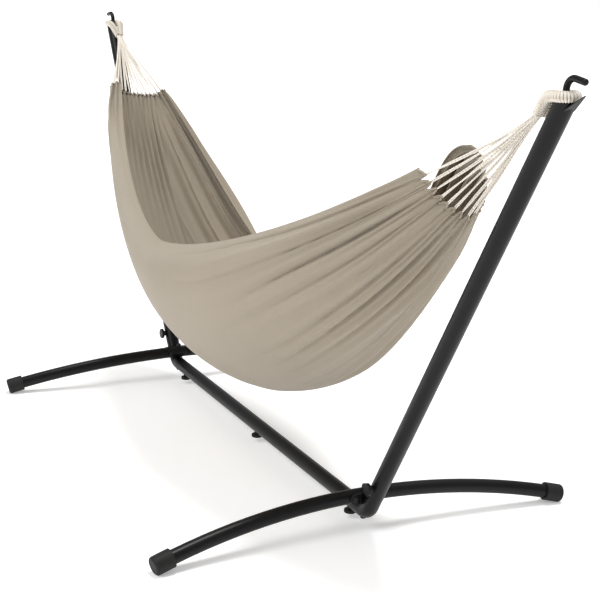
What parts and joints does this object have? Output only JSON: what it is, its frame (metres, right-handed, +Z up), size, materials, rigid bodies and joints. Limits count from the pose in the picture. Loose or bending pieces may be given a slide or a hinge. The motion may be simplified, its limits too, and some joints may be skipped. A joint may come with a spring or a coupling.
{
  "type": "hammock on stand",
  "caption": "Cloth hammock with gathered, fringed string ends, hung by rope eyes from the hooks of a low tubular steel stand with arched cross legs and leaning arms.",
  "frame": {"origin": "on the floor, under the middle of the base beam", "axes": "+X along the hammock from hook to hook, +Y across it towards the pleated panel's side, +Z up"},
  "size_m": [2.9644, 1.211, 1.2453],
  "materials": {
    "black_powder_coat": "satin powder coat",
    "black_fastener": "black oxide, satin",
    "zinc_steel": "zinc plated",
    "knob_plastic": "moulded, matt",
    "foot_rubber": "matt",
    "canvas": "plain weave, washed",
    "cotton_cord": "twisted natural cotton"
  },
  "bodies": {
    "stand": {"leg_right": "black_powder_coat", "elbow_right": "black_powder_coat", "mount_plate_right": "black_powder_coat", "arm_right": "black_powder_coat", "arm_lid_right": "black_powder_coat", "hook_bar_right": "black_powder_coat", "hook_lip_right": "black_powder_coat", "beam_right": "black_powder_coat", "plate_bolts_right": "black_fastener", "plate_nuts_right": "black_fastener", "centre_bolt_right": "black_fastener", "centre_nut_right": "black_fastener", "weld_nut_beam_right": "zinc_steel", "weld_nut_arm_right": "zinc_steel", "foot_cap_front_right": "foot_rubber", "foot_cap_back_right": "foot_rubber", "eye_loop_right": "cotton_cord", "leg_left": "black_powder_coat", "elbow_left": "black_powder_coat", "mount_plate_left": "black_powder_coat", "arm_left": "black_powder_coat", "arm_lid_left": "black_powder_coat", "hook_bar_left": "black_powder_coat", "hook_lip_left": "black_powder_coat", "beam_left": "black_powder_coat", "plate_bolts_left": "black_fastener", "plate_nuts_left": "black_fastener", "centre_bolt_left": "black_fastener", "centre_nut_left": "black_fastener", "weld_nut_beam_left": "zinc_steel", "weld_nut_arm_left": "zinc_steel", "foot_cap_front_left": "foot_rubber", "foot_cap_back_left": "foot_rubber", "eye_loop_left": "cotton_cord", "weld_nut_middle": "zinc_steel"},
    "hammock": {"bed": "canvas", "string_bundle_right": "cotton_cord", "string_bundle_left": "cotton_cord", "strings_right": "cotton_cord", "strings_left": "cotton_cord"},
    "knob_screw_beam_right": {"knob_beam_right": "knob_plastic", "knob_stud_beam_right": "zinc_steel"},
    "knob_screw_arm_right": {"knob_arm_right": "knob_plastic", "knob_stud_arm_right": "zinc_steel"},
    "knob_screw_beam_left": {"knob_beam_left": "knob_plastic", "knob_stud_beam_left": "zinc_steel"},
    "knob_screw_arm_left": {"knob_arm_left": "knob_plastic", "knob_stud_arm_left": "zinc_steel"},
    "knob_screw_middle": {"knob_middle": "knob_plastic", "knob_stud_middle": "zinc_steel"}
  },
  "joints": [
    {"name": "hammock_swing", "type": "hinge", "parent": "stand", "child": "hammock", "pos_m": [0, 0, 1.163], "axis": [1, 0, 0], "range_deg": [-30, 30]},
    {"name": "knob_beam_right_turn", "type": "hinge", "parent": "stand", "child": "knob_screw_beam_right", "pos_m": [0.62, 0, 0.0336], "axis": [0, 0, -1], "continuous": true},
    {"name": "knob_arm_right_turn", "type": "hinge", "parent": "stand", "child": "knob_screw_arm_right", "pos_m": [0.77187, -0.022, 0.14454], "axis": [0, -1, 0], "continuous": true},
    {"name": "knob_beam_left_turn", "type": "hinge", "parent": "stand", "child": "knob_screw_beam_left", "pos_m": [-0.62, 0, 0.0336], "axis": [0, 0, -1], "continuous": true},
    {"name": "knob_arm_left_turn", "type": "hinge", "parent": "stand", "child": "knob_screw_arm_left", "pos_m": [-0.77187, -0.022, 0.14454], "axis": [0, -1, 0], "continuous": true},
    {"name": "knob_middle_turn", "type": "hinge", "parent": "stand", "child": "knob_screw_middle", "pos_m": [0, 0, 0.0336], "axis": [0, 0, -1], "continuous": true}
  ]
}
